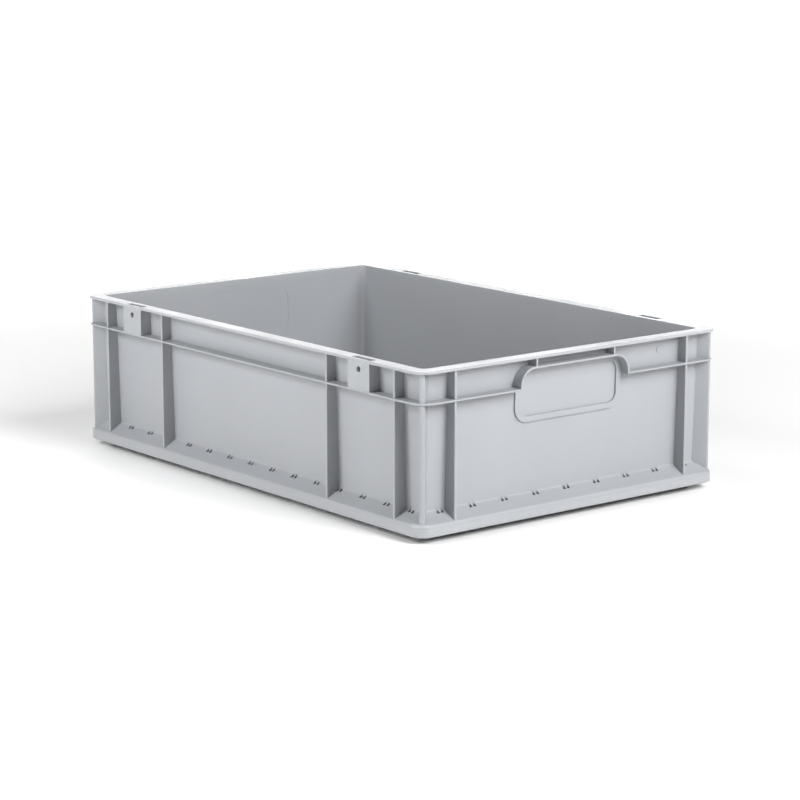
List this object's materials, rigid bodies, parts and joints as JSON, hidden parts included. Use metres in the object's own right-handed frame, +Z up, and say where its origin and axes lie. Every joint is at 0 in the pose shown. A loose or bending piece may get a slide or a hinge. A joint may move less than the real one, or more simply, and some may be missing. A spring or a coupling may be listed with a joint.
{
  "type": "stacking crate",
  "caption": "Rectangular plastic stacking crate with closed walls, wide flat rim, ribbed sides, arched closed grips on the short sides and pockets for a hinged lid.",
  "frame": {"origin": "centre of the plane the crate rests on, under the foot", "axes": "+X along the 600 mm length, +Y across the 400 mm width towards the rear long side, +Z up"},
  "size_m": [0.6, 0.4, 0.17],
  "materials": {
    "crate_plastic": "fine satin moulded surface, light handling wear"
  },
  "bodies": {
    "root": {"floor_panel": "crate_plastic", "stacking_foot": "crate_plastic", "underside_rib_grid": "crate_plastic", "long_wall_front": "crate_plastic", "long_wall_rear": "crate_plastic", "short_wall_left": "crate_plastic", "short_wall_right": "crate_plastic", "corner_wall_front_left": "crate_plastic", "corner_wall_front_right": "crate_plastic", "corner_wall_rear_left": "crate_plastic", "corner_wall_rear_right": "crate_plastic", "stacking_rim_front": "crate_plastic", "stacking_rim_rear": "crate_plastic", "stacking_rim_left": "crate_plastic", "stacking_rim_right": "crate_plastic", "base_skirt_front": "crate_plastic", "base_skirt_rear": "crate_plastic", "base_skirt_left": "crate_plastic", "base_skirt_right": "crate_plastic", "mid_flange_front": "crate_plastic", "mid_flange_rear": "crate_plastic", "side_ribs_front": "crate_plastic", "side_ribs_rear": "crate_plastic", "side_ribs_left": "crate_plastic", "side_ribs_right": "crate_plastic", "corner_rib_front_left": "crate_plastic", "corner_rib_front_right": "crate_plastic", "corner_rib_rear_left": "crate_plastic", "corner_rib_rear_right": "crate_plastic", "grip_arch_left": "crate_plastic", "grip_arch_right": "crate_plastic", "grip_frame_left": "crate_plastic", "grip_frame_right": "crate_plastic", "hinge_pocket_front_left": "crate_plastic", "hinge_pocket_front_right": "crate_plastic", "hinge_pocket_rear_left": "crate_plastic", "hinge_pocket_rear_right": "crate_plastic"}
  },
  "joints": []
}
